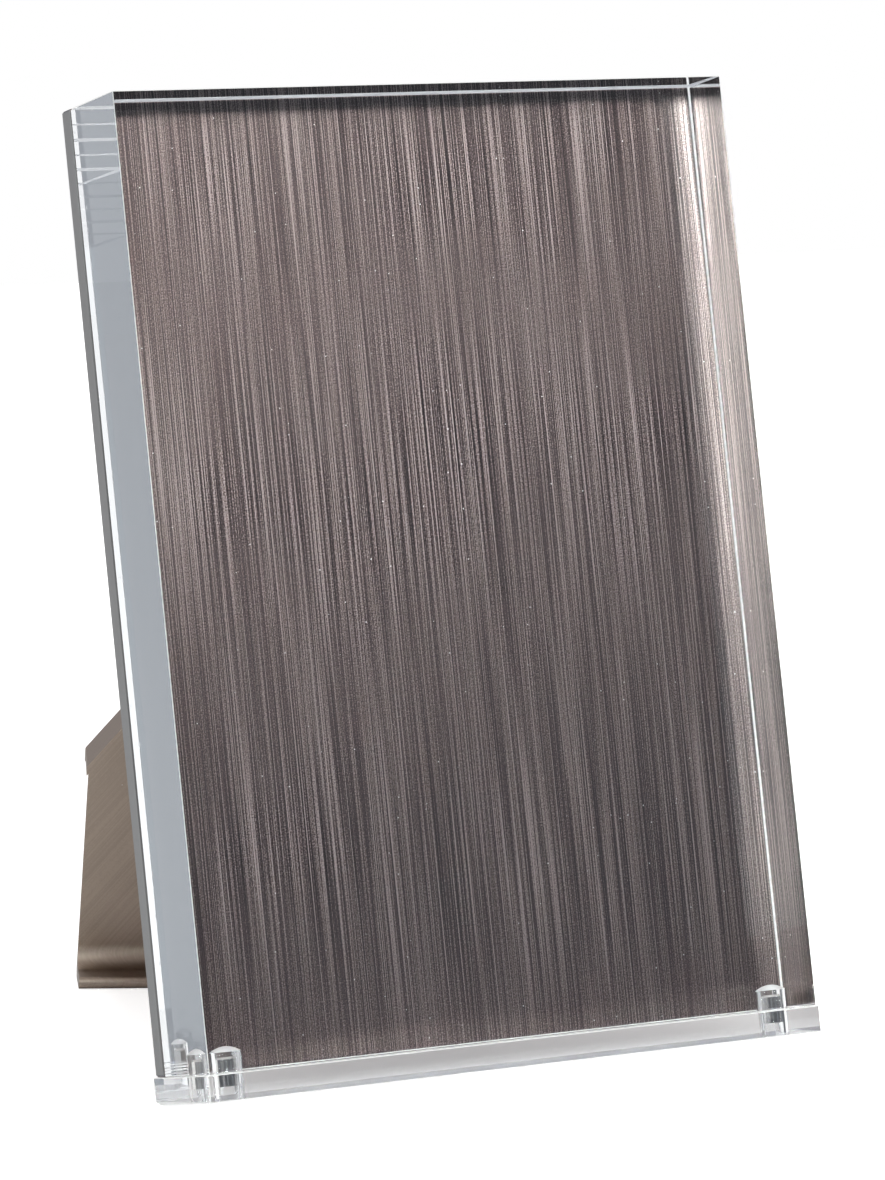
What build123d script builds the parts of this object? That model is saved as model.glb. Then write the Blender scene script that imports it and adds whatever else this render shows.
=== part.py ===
from build123d import *
import os
from math import atan, cos, degrees, radians, sin, tan

# Clear acrylic block picture frame: a thick block lifts off two dowels on a clear ledge, in front of a brushed
# metal plate that leans back on a folding channel leg.
#
# Sizes are in millimetres and angles in degrees. The parts are laid out upright first: X across the frame,
# Y from the block's front face to the back, Z up the face from the top of the ledge.

# Acrylic block, made for a 5 x 7 inch print
block_width = 127.0
block_height = 177.8
block_thickness = 19.0
block_chamfer = 0.4

# Space for the print between the block and the plate
print_gap = 0.3

# Back plate
plate_thickness = 4.0
plate_chamfer = 0.4

# Ledge under the block and the plate
ledge_height = 5.0
ledge_overhang = 0.4
ledge_chamfer = 0.6

# Dowels that locate the block on the ledge
dowel_diameter = 6.0
dowel_inset = 6.3
dowel_rise = 2.8
dowel_seat = 2.5
dowel_chamfer = 0.4
bore_play = 0.1
bore_headroom = 0.9
bore_point_angle = 140.0

# Leg: one bent sheet, a channel that runs aslant down the back
sheet = 1.2
bend_radius = 0.8
toe_bend = 3.5
leg_slant = 39.0
leg_opening = 36.0
leg_width = 45.0
leg_side_depth = 10.6
leg_end_rake = 1.7
leg_end_from_left = 7.9
web_end_rake = 2.4
web_end_from_left = 8.2
toe_length = 12.7
hem_round = 1.1
foot_relief = 3.0
heel_width = 24.0
heel_corner = 3.0
heel_gap = 0.05

# Hinge: a saddle on the plate, a headed pin through both sides of the leg and a push-on cap
hinge_from_left = 91.2
hinge_height = 111.1
pin_height = 6.0
pin_diameter = 3.0
pin_play = 0.05
pin_head_diameter = 5.2
pin_head_height = 1.0
web_height = 6.0
side_play = 0.3
saddle_length = 17.0
saddle_corner = 2.0
ear_radius = 3.6

# Screws that hold the saddle to the plate
screw_diameter = 2.5
screw_head_diameter = 4.6
screw_head_height = 1.4
screw_depth = 2.6
screw_slot_width = 0.8
screw_slot_depth = 0.7
screw_spread = 24.0
screw_pitch = 11.0

# Levels and places that follow from those sizes
plate_front = block_thickness + print_gap
plate_rear = plate_front + plate_thickness
slant = radians(leg_slant)
opening = radians(leg_opening)
web_outer = web_height + sheet
outer_bend = bend_radius + sheet
pin_cover = leg_side_depth - web_outer
hinge_x = hinge_from_left - block_width / 2
dowel_x = block_width / 2 - dowel_inset
dowel_y = block_thickness / 2
bore_radius = dowel_diameter / 2 + bore_play

# The lean at which the foot's line, level when the leg is folded, is level again when the leg is open
lean = atan(cos(slant) * tan(opening / 2))

# How far the foot's line lies below the pin, up and down the folded leg, for the toe to reach the floor
foot_drop = (
    hinge_height
    + ledge_height
    + web_outer * sin(opening) * cos(slant)
    - tan(lean) * (ledge_chamfer + pin_height + web_outer * cos(opening))
)

# Where the heel of the open leg meets the plate, measured from the pin along the leg
heel_reach = (pin_height - heel_gap + web_height * cos(opening)) / sin(opening)

# Upright layout to standing frame: the ledge's lower rear edge, in from the rear by its chamfer, goes to the
# floor and the frame leans back on it
contact_y = plate_rear - ledge_chamfer
standing = Location((0, 0, 0), (-degrees(lean), 0, 0)) * Location((0, -contact_y, ledge_height))

# Hinge frame on the upright plate: X along the pin, Y down the leg, Z away from the plate
hinge = Plane(
    origin=(hinge_x, plate_rear + pin_height, hinge_height),
    x_dir=(cos(slant), 0, -sin(slant)),
    z_dir=(0, 1, 0),
)
folded = standing * hinge.location
opened = folded * Location((0, 0, 0), (leg_opening, 0, 0))


def block_between(low, high):
    """A box given by its two opposite corners."""
    size = [b - a for a, b in zip(low, high)]
    return Pos(*low) * Box(*size, align=(Align.MIN, Align.MIN, Align.MIN))


def rod(radius, start, length, across=0.0, height=0.0):
    """A cylinder along X from start, in the hinge frame."""
    turned = Location((start, across, height), (0, 90, 0))
    return turned * Cylinder(radius, length, align=(Align.CENTER, Align.CENTER, Align.MIN))


def post(radius, low, high):
    """An upright cylinder on the Z axis from low to high."""
    return Pos(0, 0, low) * Cylinder(radius, high - low, align=(Align.CENTER, Align.CENTER, Align.MIN))


def dowel_bore():
    """The block's blind bore: a straight wall with a drill point on top."""
    depth = dowel_rise + bore_headroom
    point = bore_radius / tan(radians(bore_point_angle / 2))
    tip = Pos(0, 0, depth) * Cone(bore_radius, 0, point, align=(Align.CENTER, Align.CENTER, Align.MIN))
    return post(bore_radius, 0, depth) + tip


def acrylic_block():
    half = block_width / 2
    body = block_between((-half, 0, 0), (half, block_thickness, block_height))
    body = chamfer(body.edges(), block_chamfer)
    for x in (-dowel_x, dowel_x):
        body -= Pos(x, dowel_y, 0) * dowel_bore()
    return standing * body


def screw_places():
    """The four saddle screws, in the hinge frame."""
    for x in (-screw_spread / 2, screw_spread / 2):
        for y in (-screw_pitch / 2, screw_pitch / 2):
            yield Pos(x, y, -pin_height)


def back_plate():
    half = block_width / 2
    body = block_between((-half, plate_front, 0), (half, plate_rear, block_height))
    body = standing * chamfer(body.edges(), plate_chamfer)
    for place in screw_places():
        body -= folded * place * post(screw_diameter / 2, -screw_depth, 0)
    return body


def base_ledge():
    half = block_width / 2 + ledge_overhang
    body = block_between((-half, -ledge_overhang, -ledge_height), (half, plate_rear, 0))
    body = chamfer(body.edges(), ledge_chamfer)
    for x in (-dowel_x, dowel_x):
        body -= Pos(x, dowel_y, 0) * post(dowel_diameter / 2, -ledge_height, 0)
    return standing * body


def dowel(x):
    body = post(dowel_diameter / 2, -dowel_seat, dowel_rise)
    body = chamfer(body.edges().group_by(Axis.Z)[-1], dowel_chamfer)
    return standing * Pos(x, dowel_y, 0) * body


def on_leg(x, z):
    """A point of the upright layout as X and Y of the hinge frame."""
    right, up = x - hinge_x, z - hinge_height
    return right * cos(slant) - up * sin(slant), -right * sin(slant) - up * cos(slant)


def leg_channel(reach):
    """The leg's web and its two sides, with the sides rounded about the pin and drilled for it."""
    half = leg_width / 2
    low = web_outer - leg_side_depth
    body = block_between((-half, -pin_cover, low), (half, reach, web_outer))
    top = body.edges().filter_by(Axis.Y).group_by(Axis.Z)[-1]
    body = fillet(top, outer_bend)
    hollow = block_between((sheet - half, -leg_width, low - sheet), (half - sheet, 2 * reach, web_height))
    inner = hollow.edges().filter_by(Axis.Y).group_by(Axis.Z)[-1]
    body -= fillet(inner, bend_radius)
    rounded = block_between((-leg_width, -pin_cover, low), (leg_width, 0, 0))
    body -= rounded - rod(pin_cover, -leg_width, 2 * leg_width)
    body -= rod(pin_diameter / 2 + pin_play, -leg_width, 2 * leg_width)
    heel = block_between((-heel_width / 2, -heel_reach, web_height), (heel_width / 2, 0, web_outer))
    tip = heel.edges().filter_by(Axis.Z).group_by(Axis.Y)[0]
    return body + fillet(tip, heel_corner)


def toe_strip(foot, width):
    """The sheet's bend along the foot's line: the hemmed toe flat on the floor and the start of the web above it.

    foot is a plane at the left end of the line, with X along the line and Z up; the web leans forwards as much
    as the frame leans back. The toe's edge is folded back under it, so it is two sheets thick with a round front.
    """
    rise = 3 * foot_relief
    hem = 2 * sheet
    up = Vector(-sin(lean), cos(lean))
    inwards = Vector(-cos(lean), -sin(lean))
    crease = Vector(-(sheet + hem * sin(lean)) / cos(lean), hem)
    outline = [
        Vector(-toe_length, 0),
        Vector(0, 0),
        up * rise,
        up * rise + inwards * sheet,
        crease,
        Vector(-toe_length, hem),
    ]
    face = make_face(Polyline(*outline, close=True))
    for corner, radius in ((1, outer_bend), (4, toe_bend), (0, hem_round), (5, hem_round)):
        face = fillet(face.vertices().sort_by_distance(outline[corner])[0], radius)
    section = Plane(origin=foot.origin, x_dir=foot.y_dir, z_dir=foot.x_dir)
    return extrude(section * face, amount=width)


def end_cut(from_left, rake):
    """Where a cut at the leg's left end meets the foot's line, and the cut: Y along it, X inwards."""
    x, y = on_leg(from_left - block_width / 2, hinge_height - foot_drop)
    turn = slant - radians(rake)
    return x, y, Plane(origin=(x, y, 0), x_dir=(cos(turn), -sin(turn), 0), z_dir=(0, 0, 1)).location


def easel_leg():
    half = leg_width / 2
    _, side_y, side_cut = end_cut(leg_end_from_left, leg_end_rake)
    end_x, end_y, web_cut = end_cut(web_end_from_left, web_end_rake)
    reach = side_y + leg_width
    inwards = block_between((0, -2 * reach, -reach), (4 * reach, 2 * reach, reach))
    # The web is cut a little shorter than the sides, from the bend on
    relief = block_between((outer_bend - half, -reach, web_height - sheet), (leg_width, 2 * reach, reach))
    channel = (leg_channel(reach) & (side_cut * inwards)) - (relief - web_cut * inwards)
    body = split(opened * channel, Plane.XY.offset(foot_relief), keep=Keep.TOP)
    # The foot's line, on the outer face of the web
    right_y = (foot_drop - half * sin(slant)) / cos(slant)
    open_frame = Plane(opened)
    foot_left = open_frame.from_local_coords(Vector(end_x, end_y, web_outer))
    foot_right = open_frame.from_local_coords(Vector(half, right_y, web_outer))
    foot = Plane(origin=foot_left, x_dir=foot_right - foot_left, z_dir=(0, 0, 1))
    width = (foot_right - foot_left).length
    toe_centre = foot.from_local_coords(Vector(width / 2, -toe_length / 2, 0))
    toe = toe_strip(foot, width) & (opened * (web_cut * inwards))
    return body + toe, toe_centre


def saddle_width():
    return leg_width - 2 * sheet - 2 * side_play


def hinge_saddle():
    half = saddle_width() / 2
    base = block_between(
        (-half, -saddle_length / 2, -pin_height), (half, saddle_length / 2, sheet - pin_height)
    )
    body = fillet(base.edges().filter_by(Axis.Z), saddle_corner)
    for left in (-half, half - sheet):
        body += block_between((left, -ear_radius, -pin_height), (left + sheet, ear_radius, 0))
        body += rod(ear_radius, left, sheet)
    body -= rod(pin_diameter / 2, -leg_width, 2 * leg_width)
    for place in screw_places():
        body -= place * post(screw_diameter / 2, 0, sheet)
    return folded * body


def pin_shoulder():
    """How far from the middle the pin's head and cap stand, just outside the leg's sides."""
    return leg_width / 2 + side_play / 2


def hinge_pin():
    start = -pin_shoulder()
    head = rod(pin_head_diameter / 2, start - pin_head_height, pin_head_height)
    body = rod(pin_diameter / 2, start, 2 * pin_shoulder() + pin_head_height)
    return folded * (body + head)


def pin_cap():
    ring = rod(pin_head_diameter / 2, pin_shoulder(), pin_head_height)
    return folded * (ring - rod(pin_diameter / 2, 0, leg_width))


def saddle_screw(place):
    head = post(screw_head_diameter / 2, sheet, sheet + screw_head_height)
    top = sheet + screw_head_height
    slot = block_between(
        (-screw_head_diameter, -screw_slot_width / 2, top - screw_slot_depth),
        (screw_head_diameter, screw_slot_width / 2, top),
    )
    return folded * place * (post(screw_diameter / 2, -screw_depth, sheet) + head - slot)


leg, toe_centre = easel_leg()
nodes = {
    "acrylic_block": acrylic_block(),
    "back_plate": back_plate(),
    "base_ledge": base_ledge(),
    "left_dowel": dowel(-dowel_x),
    "right_dowel": dowel(dowel_x),
    "easel_leg": leg,
    "hinge_saddle": hinge_saddle(),
    "hinge_pin": hinge_pin(),
    "pin_cap": pin_cap(),
    "saddle_screws": Compound(children=[saddle_screw(place) for place in screw_places()]),
}

# The frame's origin: the middle of its footprint, on the floor
box = Compound(children=[Compound(part.solids()) for part in nodes.values()]).bounding_box()
origin = Pos(-box.center().X, -box.center().Y, 0)

os.makedirs("parts", exist_ok=True)
for name, part in nodes.items():
    export_step(origin * part, f"parts/{name}.step")

pin_frame = Plane(origin * folded)
print("lean in degrees", degrees(lean))
print("pin centre", pin_frame.origin, "pin direction", pin_frame.x_dir)
print("lift direction", (0, sin(lean), cos(lean)))
print("toe centre", Vector(*toe_centre) + Vector(-box.center().X, -box.center().Y, 0))
print("box", box.min, box.max)
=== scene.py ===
from math import atan, cos, radians, sin, tan

import bmesh
import bpy
import numpy as np
from mathutils import Matrix, Vector, geometry


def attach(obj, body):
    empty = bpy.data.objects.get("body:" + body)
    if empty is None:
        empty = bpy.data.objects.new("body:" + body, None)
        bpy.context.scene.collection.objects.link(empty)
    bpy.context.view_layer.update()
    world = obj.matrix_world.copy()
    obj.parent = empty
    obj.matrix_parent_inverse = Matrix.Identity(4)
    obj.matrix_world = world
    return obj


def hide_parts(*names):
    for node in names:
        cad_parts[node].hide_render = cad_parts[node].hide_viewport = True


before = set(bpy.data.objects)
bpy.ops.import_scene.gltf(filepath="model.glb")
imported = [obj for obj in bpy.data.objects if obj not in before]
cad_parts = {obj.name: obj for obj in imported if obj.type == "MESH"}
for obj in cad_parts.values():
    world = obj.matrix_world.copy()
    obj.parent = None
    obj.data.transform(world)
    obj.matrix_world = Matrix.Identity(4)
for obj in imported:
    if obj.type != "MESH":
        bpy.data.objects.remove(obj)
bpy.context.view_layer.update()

# Sizes in metres, as in the part's own source. The acrylic pieces are laid out upright first: X across the
# frame, Y from the block's front face back, Z up from the top of the ledge.
BLOCK_WIDTH = 0.127
BLOCK_HEIGHT = 0.1778
BLOCK_THICKNESS = 0.019
BLOCK_CUTS = (0.00012, 0.00012), (0.00018, 0.0003)
BLOCK_EDGE = 0.0001
BLOCK_TRIM = 0.00006  # keeps the finer cut edges within the solids' box
PLATE_REAR = 0.0233
LEDGE_HEIGHT = 0.005
LEDGE_OVERHANG = 0.0004
LEDGE_CUTS = (0.00015, 0.0006), (0.00015, 0.00015)
LEDGE_EDGE = 0.00015
LEDGE_TRIM = 0.00012  # likewise in front
DOWEL_RADIUS = 0.003
DOWEL_INSET = 0.0063
DOWEL_RISE = 0.0028
DOWEL_SEAT = 0.0025
DOWEL_CUT = 0.0004
BORE_PLAY = 0.0001
BORE_HEADROOM = 0.0009
BORE_CROWN = 0.001
LEG_SLANT = radians(39)
LEG_OPENING = radians(36)

# Thin air films that keep touching acrylic faces apart, so that light meets them one at a time
LEDGE_FILM = 0.00005
GLUE_FILM = 0.00003

# Steps round a bore or a dowel, and rings up a bore's crown
ROUND_STEPS = 96
CROWN_RINGS = 9

# The lean that the open leg gives the frame, and the place of the upright layout's origin in the frame
LEAN = atan(cos(LEG_SLANT) * tan(LEG_OPENING / 2))
CONTACT_Y = PLATE_REAR - LEDGE_CUTS[0][1]
FOOTPRINT_MIDDLE = 0.0382213

DOWEL_X = BLOCK_WIDTH / 2 - DOWEL_INSET
DOWEL_Y = BLOCK_THICKNESS / 2


def standing(points):
    """Upright points leaned back about the ledge's lower rear edge: y' = y cos + z sin, z' = z cos - y sin."""
    x, y, z = np.moveaxis(np.asarray(points, float), -1, 0)
    y, z = y - CONTACT_Y, z + LEDGE_HEIGHT
    back = y * cos(LEAN) + z * sin(LEAN) - FOOTPRINT_MIDDLE
    return np.stack([x, back, z * cos(LEAN) - y * sin(LEAN)], axis=-1)


# Shader nodes


def add(tree, kind, **inputs):
    """A shader node with its inputs set, where an input is a value or another node's output."""
    node = tree.nodes.new("ShaderNode" + kind)
    for name, value in inputs.items():
        socket = node.inputs[int(name[1:])] if name[1:].isdigit() else node.inputs[name.replace("_", " ")]
        if isinstance(value, bpy.types.NodeSocket):
            tree.links.new(value, socket)
        else:
            socket.default_value = value
    return node


def math(tree, operation, first, second=0.0, third=0.0):
    """The result of a sum on values or outputs."""
    node = add(tree, "Math", i0=first, i1=second, i2=third)
    node.operation = operation
    return node.outputs[0]


def ramp(tree, factor, *stops):
    """A colour ramp through (place, colour) stops."""
    node = add(tree, "ValToRGB", Fac=factor)
    elements = node.color_ramp.elements
    while len(elements) < len(stops):
        elements.new(0.5)
    for element, (place, colour) in zip(elements, stops):
        element.position = place
        element.color = (*colour, 1.0)
    return node.outputs["Color"]


def spread(tree, value, low, high, to_low, to_high):
    """value from low..high carried to to_low..to_high, and held at the ends."""
    node = add(tree, "MapRange", Value=value)
    for name, number in zip(("From Min", "From Max", "To Min", "To Max"), (low, high, to_low, to_high)):
        node.inputs[name].default_value = number
    return node.outputs["Result"]


def blend(tree, share, first, second):
    """The first colour, and as share goes from 0 to 1 the second; either may be a colour or an output."""
    node = add(tree, "Mix", i0=share, i6=first, i7=second)
    node.data_type = "RGBA"
    return node.outputs[2]


def noise(tree, vector, detail):
    """Soft random marks, one to each unit of the stretched coordinates."""
    return add(tree, "TexNoise", Vector=vector, Scale=1.0, Detail=detail).outputs["Fac"]


def surface(name, kind="Principled"):
    """A new material with its own shader."""
    material = bpy.data.materials.new(name)
    material.use_nodes = True
    tree = material.node_tree
    tree.nodes.clear()
    shader = tree.nodes.new("ShaderNodeBsdf" + kind)
    output = tree.nodes.new("ShaderNodeOutputMaterial")
    tree.links.new(shader.outputs["BSDF"], output.inputs["Surface"])
    return material, tree, shader


def turned(tree, vector, turn, scale):
    """Object coordinates turned into the piece's own directions, then stretched."""
    straight = add(tree, "Mapping", Vector=vector, Rotation=turn)
    return add(tree, "Mapping", Vector=straight.outputs["Vector"], Scale=scale).outputs["Vector"]


# Acrylic finishes

ACRYLIC_IOR = 1.491


def clear_acrylic():
    """Polished acrylic, with faint hairline scratches that blur a little light."""
    material, tree, shader = surface("clear acrylic")
    shader.inputs["Base Color"].default_value = (0.985, 0.992, 0.995, 1)
    shader.inputs["IOR"].default_value = ACRYLIC_IOR
    shader.inputs["Transmission Weight"].default_value = 1.0
    place = add(tree, "TexCoord").outputs["Object"]
    hairs = noise(tree, turned(tree, place, (0.3, 0.5, 0.7), (900, 60, 900)), detail=1)
    tree.links.new(spread(tree, hairs, 0.72, 0.8, 0.0, 0.12), shader.inputs["Roughness"])
    tint = add(tree, "VolumeAbsorption", Color=(0.0, 0.35, 1.0, 1.0), Density=0.25)
    tree.links.new(tint.outputs["Volume"], tree.nodes["Material Output"].inputs["Volume"])
    return material


def frosted_acrylic():
    """Scraped edges and drilled ends: acrylic left matt by the tool."""
    material, tree, shader = surface("frosted acrylic")
    shader.inputs["Base Color"].default_value = (0.99, 0.985, 0.975, 1)
    shader.inputs["IOR"].default_value = ACRYLIC_IOR
    shader.inputs["Transmission Weight"].default_value = 0.35
    place = add(tree, "TexCoord").outputs["Object"]
    marks = noise(tree, turned(tree, place, (0, 0, 0), (2500, 2500, 2500)), detail=3)
    tree.links.new(spread(tree, marks, 0.3, 0.7, 0.35, 0.6), shader.inputs["Roughness"])
    return material


def drilled_acrylic():
    """Bore walls, hazed by the drill: clear, with fine rings round the bore in roughness and bump."""
    material, tree, shader = surface("drilled acrylic")
    shader.inputs["Base Color"].default_value = (0.985, 0.985, 0.98, 1)
    shader.inputs["IOR"].default_value = ACRYLIC_IOR
    shader.inputs["Transmission Weight"].default_value = 0.96
    place = add(tree, "TexCoord").outputs["Object"]
    rings = noise(tree, turned(tree, place, (LEAN, 0, 0), (60, 60, 5000)), detail=2)
    tree.links.new(spread(tree, rings, 0.35, 0.65, 0.02, 0.14), shader.inputs["Roughness"])
    bump = add(tree, "Bump", Strength=0.4, Distance=0.00002, Height=rings)
    tree.links.new(bump.outputs["Normal"], shader.inputs["Normal"])
    return material


# Metal finishes. Each kind of brush mark has its count per metre across the brush, out of the sheet and along the
# brush, its detail and its share of the whole.

BRUSH_LINES = (4600, 200, 15), 1, 0.50
BRUSH_HAIRS = (8000, 200, 22), 0, 0.24
BRUSH_GRAIN = (5200, 200, 3600), 0, 0.22
BRUSH_BANDS = (220, 60, 6), 1, 0.04
TONE_PLACES = (0.41, 0.50, 0.60)
DUST_COUNT, DUST_SIZE, DUST_COLOUR = 330.0, 0.04, (0.92, 0.9, 0.88, 1)
BARE_COLOUR = (0.24, 0.235, 0.235, 1)
LACQUER_ROUGHNESS = 0.36


def brushed_metal(name, tones, turn, across, rough, anisotropy, lacquer=0.0, bare_from=1.0):
    """Sheet metal brushed one way: lines, hairs, grain and bands in colour, roughness and bump, and a little dust.

    tones are the dark, middle and light lines, and rough is the roughness of the dark and the light ones. turn takes
    Object coordinates to X across the brush, Y out of the sheet and Z along the brush; across is the direction over
    the lines, in which the shine spreads. lacquer is the share of a neutral shine over the metal's own. Beyond
    bare_from to either side the metal is cut edge, bare and grey.
    """
    material, tree, shader = surface(name, "Metallic")
    shader.distribution = "BECKMANN"
    shader.inputs["Anisotropy"].default_value = anisotropy
    place = add(tree, "TexCoord").outputs["Object"]
    streaks = 0.0
    for count, detail, share in (BRUSH_LINES, BRUSH_HAIRS, BRUSH_GRAIN, BRUSH_BANDS):
        marks = noise(tree, turned(tree, place, turn, count), detail)
        streaks = math(tree, "MULTIPLY_ADD", marks, share, streaks)
    colour = ramp(tree, streaks, *zip(TONE_PLACES, tones))
    specks = add(tree, "TexVoronoi", Vector=place, Scale=DUST_COUNT).outputs["Distance"]
    dust = math(tree, "LESS_THAN", specks, DUST_SIZE)
    colour = blend(tree, dust, colour, DUST_COLOUR)
    side = math(tree, "ABSOLUTE", add(tree, "SeparateXYZ", Vector=place).outputs["X"])
    bare = math(tree, "GREATER_THAN", side, bare_from)
    tree.links.new(blend(tree, bare, colour, BARE_COLOUR), shader.inputs["Base Color"])
    brushed = spread(tree, streaks, 0.38, 0.62, rough[0], rough[1])
    tree.links.new(math(tree, "MAXIMUM", brushed, dust), shader.inputs["Roughness"])
    bump = add(tree, "Bump", Strength=0.5, Distance=0.00001, Height=streaks)
    tree.links.new(bump.outputs["Normal"], shader.inputs["Normal"])
    direction = add(tree, "CombineXYZ", X=across[0], Y=across[1], Z=across[2])
    world = add(tree, "VectorTransform", Vector=direction.outputs["Vector"])
    world.vector_type = "VECTOR"
    world.convert_from = "OBJECT"
    world.convert_to = "WORLD"
    tree.links.new(world.outputs["Vector"], shader.inputs["Tangent"])
    if lacquer:
        gloss = add(tree, "BsdfAnisotropic", Color=(1, 1, 1, 1), Roughness=LACQUER_ROUGHNESS)
        gloss.distribution = "BECKMANN"
        both = add(tree, "MixShader", Fac=lacquer, i1=shader.outputs["BSDF"], i2=gloss.outputs["BSDF"])
        tree.links.new(both.outputs["Shader"], tree.nodes["Material Output"].inputs["Surface"])
    return material


def plated_steel():
    """Bright plated fasteners with a faint cloud of handling marks."""
    material, tree, shader = surface("plated steel")
    shader.inputs["Metallic"].default_value = 1.0
    place = add(tree, "TexCoord").outputs["Object"]
    cloud = noise(tree, turned(tree, place, (0, 0, 0), (700, 700, 700)), detail=3)
    tone = ramp(tree, cloud, (0.3, (0.62, 0.61, 0.60)), (0.7, (0.78, 0.77, 0.76)))
    tree.links.new(tone, shader.inputs["Base Color"])
    tree.links.new(spread(tree, cloud, 0.3, 0.7, 0.08, 0.2), shader.inputs["Roughness"])
    return material


# Acrylic pieces

POLISHED, FROSTED, DRILLED = 0, 1, 2


def grid_faces(rows, columns):
    """Corner numbers of the quads of a grid that closes on itself along its columns."""
    row, column = np.mgrid[0 : rows - 1, 0:columns]
    after = (column + 1) % columns
    quads = [row * columns + column, row * columns + after, (row + 1) * columns + after, (row + 1) * columns + column]
    return np.stack(quads, axis=-1).reshape(-1, 4)


def bar_sides(low, high, cuts, edge):
    """The sides of a bar with every edge cut at 45 degrees: eight points round it at four levels.

    The points go round the outline, its corners cut by edge, at the two middle levels. At each end they draw in by
    that end's cut, given at the front and at the rear, and meet in pairs at the end face's corners. Returns the
    points, quads and finishes; the cut faces are frosted.
    """
    low, high = np.array(low), np.array(high)
    middle, half = (low + high) / 2, (high - low) / 2
    (w, d), (a, b) = half[:2], half[:2] - edge
    full = np.array([(w, -b), (w, b), (a, d), (-a, d), (-w, b), (-w, -b), (-a, -d), (a, -d)])
    bottom, top = np.array(cuts)[:, (full[:, 1] > 0).astype(int)]
    ends = [np.sign(full) * (half[:2] - cut[:, None]) for cut in (bottom, top)]
    outline = np.stack([ends[0], full, full, ends[1]]) + middle[:2]
    levels = np.stack([0 * bottom + low[2], bottom + low[2], high[2] - top, 0 * top + high[2]])
    points = np.concatenate([outline, levels[..., None]], axis=-1)
    finish = np.full((3, 8), FROSTED)
    finish[1, ::2] = POLISHED
    return points.reshape(-1, 3), grid_faces(4, 8), finish.ravel()


def bore_wall(x, y, radii, levels):
    """A round wall about (x, y): rings of the given radii at the given levels."""
    turn = np.linspace(0, 2 * np.pi, ROUND_STEPS, endpoint=False)
    radii, levels = np.array(radii)[:, None], np.array(levels)[:, None]
    rings = [x + radii * np.cos(turn), y + radii * np.sin(turn), np.broadcast_to(levels, (len(levels), ROUND_STEPS))]
    return np.stack(rings, axis=-1).reshape(-1, 3), grid_faces(len(levels), ROUND_STEPS)


def flat_end(low, high, cut, level, holes, radius):
    """An end face of the bar at a level, drawn in by its cut, with round holes left open, as triangles."""
    front, rear = cut
    near = [(low[0] + front, low[1] + front, level), (high[0] - front, low[1] + front, level)]
    far = [(high[0] - rear, high[1] - rear, level), (low[0] + rear, high[1] - rear, level)]
    loops = [np.array(near + far)]
    for x, y in holes:
        loops.append(bore_wall(x, y, [radius], [level])[0][::-1])
    triangles = geometry.tessellate_polygon([[Vector(p) for p in loop] for loop in loops])
    return np.concatenate(loops), np.array(triangles)


def joined(*patches):
    """Patches of (points, faces, finish) as one list of points, one of faces and one of finishes."""
    points, faces, finishes, start = [], [], [], 0
    for patch_points, patch_faces, finish in patches:
        points.append(patch_points)
        faces += (patch_faces + start).tolist()
        finishes.append(np.broadcast_to(finish, len(patch_faces)))
        start += len(patch_points)
    return np.concatenate(points), faces, np.concatenate(finishes)


def piece(name, patches, materials, body, node):
    """A closed mesh of the patches, standing in its place, that stands for a node of the frame."""
    points, faces, finishes = joined(*patches)
    mesh = bpy.data.meshes.new(name)
    mesh.from_pydata(standing(points), [], faces)
    mesh.polygons.foreach_set("material_index", finishes.astype(np.int32))
    solid = bmesh.new()
    solid.from_mesh(mesh)
    bmesh.ops.remove_doubles(solid, verts=solid.verts, dist=1e-6)
    bmesh.ops.recalc_face_normals(solid, faces=solid.faces)
    solid.to_mesh(mesh)
    solid.free()
    mesh.polygons.foreach_set("use_smooth", np.ones(len(mesh.polygons), bool))
    mesh.set_sharp_from_angle(angle=radians(20))
    for material in materials:
        mesh.materials.append(material)
    made = bpy.data.objects.new(name, mesh)
    bpy.context.scene.collection.objects.link(made)
    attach(made, body)
    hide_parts(node)
    return made


def block_piece(materials):
    """The thick block: a bar with two blind bores, each a straight wall under a crown.

    The crown rises as one less the square of the radius, as a share of the bore's own radius.
    """
    low = (-BLOCK_WIDTH / 2, 0, 0)
    high = (BLOCK_WIDTH / 2, BLOCK_THICKNESS, BLOCK_HEIGHT - BLOCK_TRIM)
    radius = DOWEL_RADIUS + BORE_PLAY
    depth = DOWEL_RISE + BORE_HEADROOM
    share = np.linspace(1, 0, CROWN_RINGS)
    holes = [(-DOWEL_X, DOWEL_Y), (DOWEL_X, DOWEL_Y)]
    patches = [
        bar_sides(low, high, BLOCK_CUTS, BLOCK_EDGE),
        (*flat_end(low, high, BLOCK_CUTS[1], high[2], [], radius), POLISHED),
        (*flat_end(low, high, BLOCK_CUTS[0], low[2], holes, radius), POLISHED),
    ]
    for x, y in holes:
        patches.append((*bore_wall(x, y, [radius, radius], [0, depth]), DRILLED))
        patches.append((*bore_wall(x, y, radius * share, depth + BORE_CROWN * (1 - share**2)), FROSTED))
    return piece("clear_block", patches, materials, "block", "acrylic_block")


def ledge_piece(materials):
    """The ledge: a bar with a hole right through it for each dowel."""
    low = (-BLOCK_WIDTH / 2 - LEDGE_OVERHANG, LEDGE_TRIM - LEDGE_OVERHANG, -LEDGE_HEIGHT)
    high = (BLOCK_WIDTH / 2 + LEDGE_OVERHANG, PLATE_REAR, -LEDGE_FILM)
    holes = [(-DOWEL_X, DOWEL_Y), (DOWEL_X, DOWEL_Y)]
    patches = [
        bar_sides(low, high, LEDGE_CUTS, LEDGE_EDGE),
        (*flat_end(low, high, LEDGE_CUTS[1], high[2], holes, DOWEL_RADIUS), POLISHED),
        (*flat_end(low, high, LEDGE_CUTS[0], low[2], holes, DOWEL_RADIUS), POLISHED),
    ]
    for x, y in holes:
        patches.append((*bore_wall(x, y, [DOWEL_RADIUS, DOWEL_RADIUS], [low[2], high[2]]), POLISHED))
    return piece("clear_ledge", patches, materials, "frame", "base_ledge")


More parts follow.
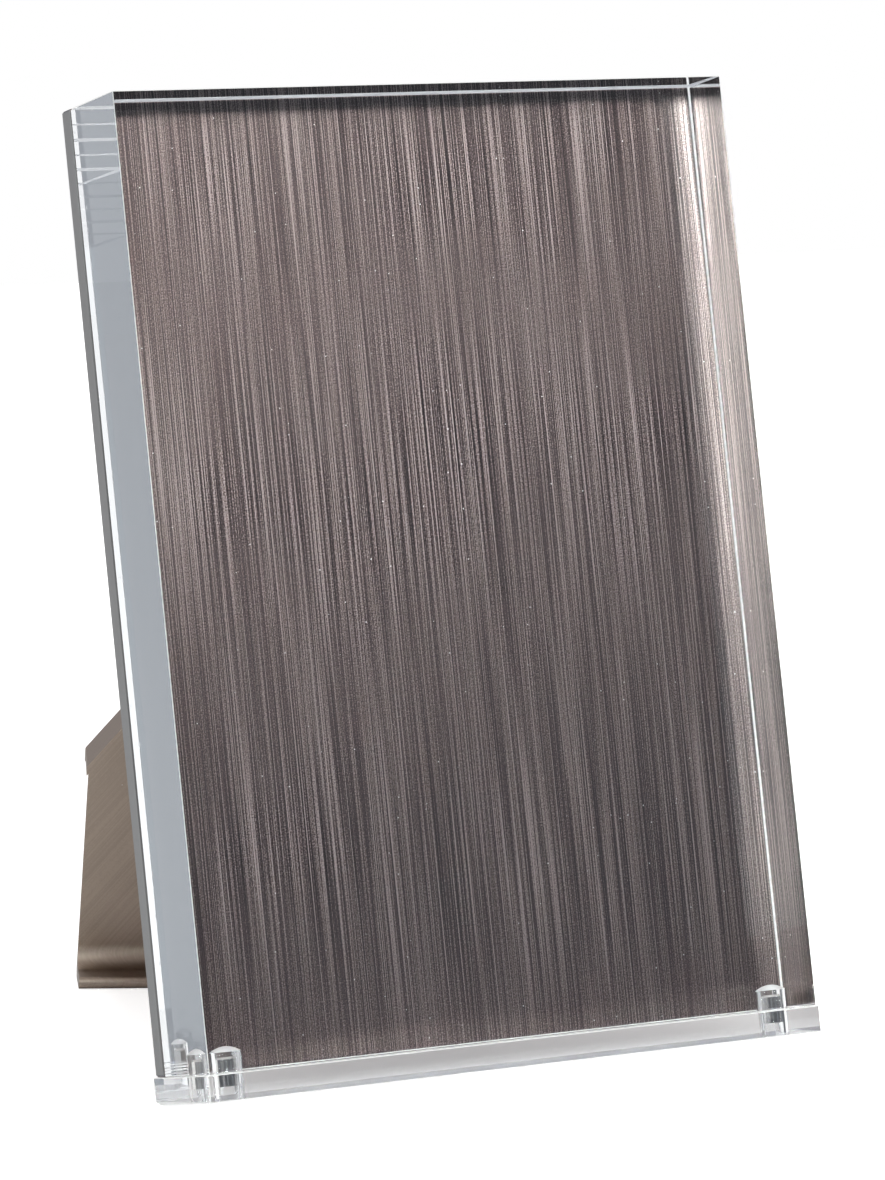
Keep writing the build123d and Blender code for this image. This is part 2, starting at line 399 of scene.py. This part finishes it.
def dowel_piece(name, node, x, steel):
    """A dowel: a round bar whose rings close at both ends, with its top edge cut."""
    radius = DOWEL_RADIUS - GLUE_FILM
    shoulder = DOWEL_RISE - DOWEL_CUT
    wall = bore_wall(x, DOWEL_Y, [radius, radius], [-DOWEL_SEAT, shoulder])
    top = bore_wall(x, DOWEL_Y, [radius, radius - DOWEL_CUT, 0], [shoulder, DOWEL_RISE, DOWEL_RISE])
    foot = bore_wall(x, DOWEL_Y, [0, radius], [-DOWEL_SEAT, -DOWEL_SEAT])
    patches = [(*wall, 0), (*top, 0), (*foot, 0)]
    return piece(name, patches, [steel], "frame", node)


acrylic = [clear_acrylic(), frosted_acrylic(), drilled_acrylic()]
steel = plated_steel()
block_piece(acrylic)
ledge_piece(acrylic)
dowel_piece("steel_dowel_left", "left_dowel", -DOWEL_X, steel)
dowel_piece("steel_dowel_right", "right_dowel", DOWEL_X, steel)

# Metal pieces keep the frame's own shapes

plate_metal = brushed_metal(
    "brushed plate",
    tones=((0.044, 0.0283, 0.0265), (0.124, 0.0797, 0.0752), (0.44, 0.3465, 0.3285)),
    turn=(LEAN, 0, 0),
    across=(1, 0, 0),
    rough=(0.42, 0.495),
    anisotropy=0.7,
    lacquer=0.033,
    bare_from=0.0633,
)
# The leg's own directions: across it, out of its sheet and down along it
leg_across = (0.7771, -0.1541, -0.6102)
leg_out = (0.3701, 0.8961, 0.2448)
leg_along = (-0.5090, 0.4161, -0.7535)
leg_metal = brushed_metal(
    "brushed leg",
    tones=((0.375, 0.308, 0.258), (0.40, 0.328, 0.275), (0.43, 0.352, 0.295)),
    turn=tuple(Matrix((leg_across, leg_out, leg_along)).to_euler()),
    across=leg_across,
    rough=(0.5, 0.56),
    anisotropy=0.4,
)
for node, metal in {
    "back_plate": plate_metal,
    "easel_leg": leg_metal,
    "hinge_saddle": leg_metal,
    "hinge_pin": steel,
    "pin_cap": steel,
    "saddle_screws": steel,
}.items():
    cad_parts[node].material_slots[0].material = metal


# Stage: a pale floor, soft light and the camera

FLOOR_SIDE = 1.5
FLOOR_FRONT, FLOOR_BACK = -0.3, 1.2
FLOOR_GLOW, FLOOR_GLOW_THROUGH = 0.6, 0.15
LIGHT_AIM = (0, 0, 0.1)
CEILING = (1.15, 1.12, 1.1)
DIM_ROOM = (0.11, 0.117, 0.13)
GREY_SWEEP = (0.5, 0.5, 0.52)
FOCAL_LENGTH_PIXELS, PICTURE_HEIGHT_PIXELS, SENSOR = 5595, 1180, 36


def pale_floor():
    """The floor that the frame stands on, burnt out to white where it is seen, less so through the acrylic."""
    mesh = bpy.data.meshes.new("floor")
    near = [(-FLOOR_SIDE, FLOOR_FRONT, 0), (FLOOR_SIDE, FLOOR_FRONT, 0)]
    far = [(FLOOR_SIDE, FLOOR_BACK, 0), (-FLOOR_SIDE, FLOOR_BACK, 0)]
    mesh.from_pydata(near + far, [], [(0, 1, 2, 3)])
    floor = bpy.data.objects.new("floor", mesh)
    material, tree, shader = surface("pale floor")
    shader.inputs["Base Color"].default_value = (0.85, 0.85, 0.85, 1)
    shader.inputs["Roughness"].default_value = 0.9
    shader.inputs["Emission Color"].default_value = (1, 1, 1, 1)
    path = add(tree, "LightPath").outputs
    through = math(tree, "MULTIPLY", path["Is Transmission Ray"], FLOOR_GLOW_THROUGH)
    seen = math(tree, "MULTIPLY_ADD", path["Is Camera Ray"], FLOOR_GLOW, through)
    tree.links.new(seen, shader.inputs["Emission Strength"])
    mesh.materials.append(material)
    bpy.context.scene.collection.objects.link(floor)


def soft_panel(name, place, size, radiance, colour):
    """A soft rectangular light of even radiance: its power is radiance times pi times its area."""
    light = bpy.data.lights.new(name, "AREA")
    light.color = colour
    light.shape = "RECTANGLE"
    light.size, light.size_y = size
    light.energy = radiance * np.pi * size[0] * size[1]
    lamp = bpy.data.objects.new(name, light)
    lamp.location = place
    lamp.rotation_euler = (Vector(LIGHT_AIM) - Vector(place)).to_track_quat("-Z", "Y").to_euler()
    bpy.context.scene.collection.objects.link(lamp)


def studio_world():
    """Soft surroundings: a dim room in front, a white sweep low down behind, and a bright ceiling."""
    world = bpy.data.worlds.new("studio")
    world.use_nodes = True
    tree = world.node_tree
    tree.nodes.clear()
    way = add(tree, "SeparateXYZ", Vector=add(tree, "TexCoord").outputs["Generated"])
    height = spread(tree, way.outputs["Z"], -1.0, 1.0, 0.0, 1.0)
    front = ramp(
        tree,
        height,
        (0.50, (0.05, 0.05, 0.05)),
        (0.53, DIM_ROOM),
        (0.68, DIM_ROOM),
        (0.74, (0.12, 0.12, 0.12)),
        (0.80, CEILING),
    )
    back = ramp(
        tree,
        height,
        (0.53, (1.0, 1.0, 1.0)),
        (0.57, GREY_SWEEP),
        (0.75, GREY_SWEEP),
        (0.80, CEILING),
    )
    behind = spread(tree, way.outputs["Y"], -0.3, 0.2, 0.0, 1.0)
    sky = blend(tree, behind, front, back)
    seen = add(tree, "LightPath").outputs["Is Camera Ray"]
    background = add(tree, "Background", Color=blend(tree, seen, sky, (1, 1, 1, 1)), Strength=1.0)
    output = tree.nodes.new("ShaderNodeOutputWorld")
    tree.links.new(background.outputs["Background"], output.inputs["Surface"])
    bpy.context.scene.world = world


def photo_camera():
    """The photograph's own viewpoint: forwards, right and up set the camera's turn."""
    place = Vector((-0.4841, -0.9346, 0.2601))
    forwards = Vector((0.46367, 0.87067, -0.16393)).normalized()
    up = Vector((0.0638, 0.1514, 0.9865))
    right = forwards.cross(up).normalized()
    up = right.cross(forwards)
    data = bpy.data.cameras.new("camera")
    data.lens = FOCAL_LENGTH_PIXELS / PICTURE_HEIGHT_PIXELS * SENSOR
    data.sensor_width = SENSOR
    data.clip_start, data.clip_end = 0.01, 100
    camera = bpy.data.objects.new("camera", data)
    turn = Matrix((right, up, -forwards)).transposed().to_4x4()
    camera.matrix_world = Matrix.Translation(place) @ turn
    bpy.context.scene.collection.objects.link(camera)
    bpy.context.scene.camera = camera


pale_floor()
studio_world()
soft_panel("key", (-0.48, -1.64, 1.04), (0.50, 0.36), 46.5, (0.90, 1.0, 0.98))
soft_panel("fill", (-0.808, -1.586, 0.61), (0.35, 0.45), 1.0, (0.9, 1.0, 1.0))
soft_panel("card", (0.80, -1.37, 0.56), (0.42, 0.80), 0.14, (0.90, 1.0, 1.12))
photo_camera()

scene = bpy.context.scene
scene.view_settings.view_transform = "Standard"
scene.cycles.blur_glossy = 0.0
scene.cycles.sample_clamp_indirect = 40.0
scene.cycles.max_bounces = 32
scene.cycles.glossy_bounces = 32
scene.cycles.transmission_bounces = 32
